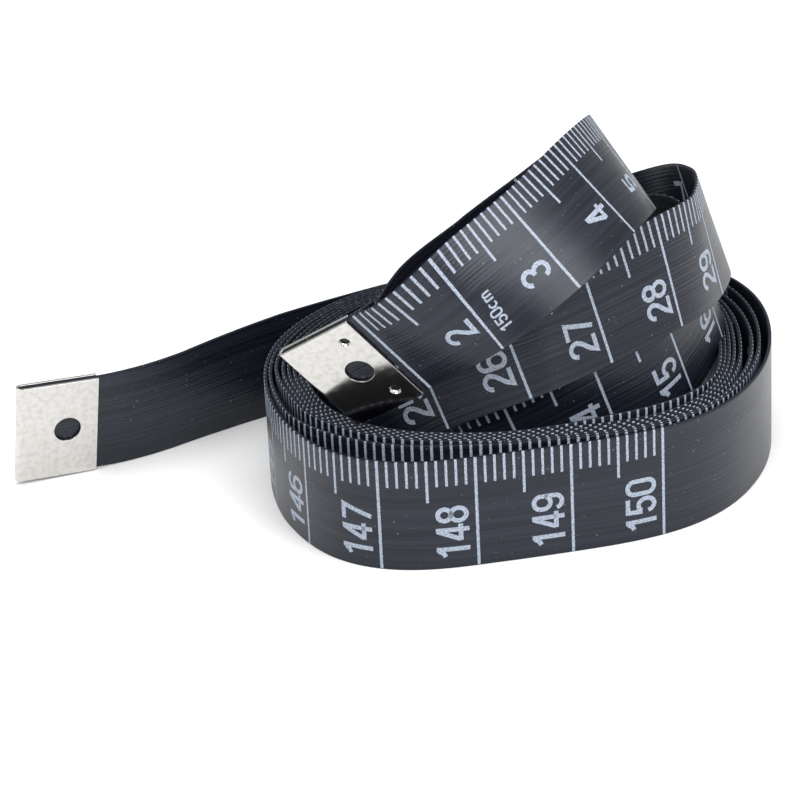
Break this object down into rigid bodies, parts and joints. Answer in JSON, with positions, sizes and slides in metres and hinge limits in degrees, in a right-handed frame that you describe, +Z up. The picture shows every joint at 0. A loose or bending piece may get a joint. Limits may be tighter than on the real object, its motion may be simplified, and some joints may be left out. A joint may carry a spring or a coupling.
{
  "type": "tailor's tape measure",
  "caption": "Flexible coated measuring ribbon wound on edge into an oval coil, with raised inner loops, a free tail and a folded metal tip with a hole on each end.",
  "frame": {"origin": "under the middle of the part's box, on the surface that the coil stands on", "axes": "+Z up along the coil's axis, +X from the free tail towards the coil, +Y away from the raised loops' free tip"},
  "size_m": [0.0836, 0.054, 0.04],
  "materials": {
    "tape_coating": "black coated ribbon, semi-gloss, finely ribbed lengthwise",
    "scale_ink": "flat pale printing ink",
    "tip_metal": "bright plated sheet, folded"
  },
  "bodies": {
    "coil": {"tape_coil": "tape_coating", "tape_inner_loops": "tape_coating"},
    "lead_1": {"tape_lead_1": "tape_coating"},
    "lead_2": {"tape_lead_2": "tape_coating", "tip_start": "tip_metal"},
    "turn_1": {"tape_turn_1": "tape_coating"},
    "turn_2": {"tape_turn_2": "tape_coating"},
    "turn_3": {"tape_turn_3": "tape_coating"},
    "turn_4": {"tape_turn_4": "tape_coating"},
    "turn_5": {"tape_turn_5": "tape_coating"},
    "tail_1": {"tape_tail_1": "tape_coating"},
    "tail_2": {"tape_tail_2": "tape_coating", "tip_end": "tip_metal"}
  },
  "joints": [
    {"name": "unroll", "type": "hinge", "parent": "coil", "child": "turn_1", "pos_m": [0.03033, -0.01956, 0.0061], "axis": [0, 0, -1], "range_deg": [0, 20.5]},
    {"name": "unroll_2", "type": "hinge", "parent": "turn_1", "child": "turn_2", "pos_m": [0.03968, -0.00716, 0.0061], "axis": [0, 0, -1], "range_deg": [0, 31.8]},
    {"name": "unroll_3", "type": "hinge", "parent": "turn_2", "child": "turn_3", "pos_m": [0.04136, 0.0095, 0.0061], "axis": [0, 0, -1], "range_deg": [0, 38.7]},
    {"name": "unroll_4", "type": "hinge", "parent": "turn_3", "child": "turn_4", "pos_m": [0.03189, 0.02466, 0.0061], "axis": [0, 0, -1], "range_deg": [0, 52]},
    {"name": "unroll_5", "type": "hinge", "parent": "turn_4", "child": "turn_5", "pos_m": [0.01445, 0.02576, 0.0061], "axis": [0, 0, -1], "range_deg": [0, 24.6]},
    {"name": "tail_sway", "type": "hinge", "parent": "turn_5", "child": "tail_1", "pos_m": [-0.00008, 0.0208, 0.0061], "axis": [0, 0, -1], "range_deg": [-3, 36]},
    {"name": "tail_sway_2", "type": "hinge", "parent": "tail_1", "child": "tail_2", "pos_m": [-0.01233, 0.01404, 0.00001], "axis": [-0.0266, 0.0471, -0.9985], "range_deg": [-3, 36]},
    {"name": "lead_lift", "type": "hinge", "parent": "coil", "child": "lead_1", "pos_m": [0.02882, -0.00156, 0.02809], "axis": [-0.5353, 0.3531, 0.7673], "range_deg": [0, 36]},
    {"name": "lead_lift_2", "type": "hinge", "parent": "lead_1", "child": "lead_2", "pos_m": [0.02544, -0.01541, 0.03093], "axis": [-0.6451, 0.2697, 0.7149], "range_deg": [0, 45]}
  ],
  "couplings": [
    {"joint": "unroll_2", "follows": "unroll", "ratio": 1.5512},
    {"joint": "unroll_3", "follows": "unroll", "ratio": 1.8878},
    {"joint": "unroll_4", "follows": "unroll", "ratio": 2.5366},
    {"joint": "unroll_5", "follows": "unroll", "ratio": 1.2},
    {"joint": "tail_sway_2", "follows": "tail_sway", "ratio": 1},
    {"joint": "lead_lift_2", "follows": "lead_lift", "ratio": 1.25}
  ]
}
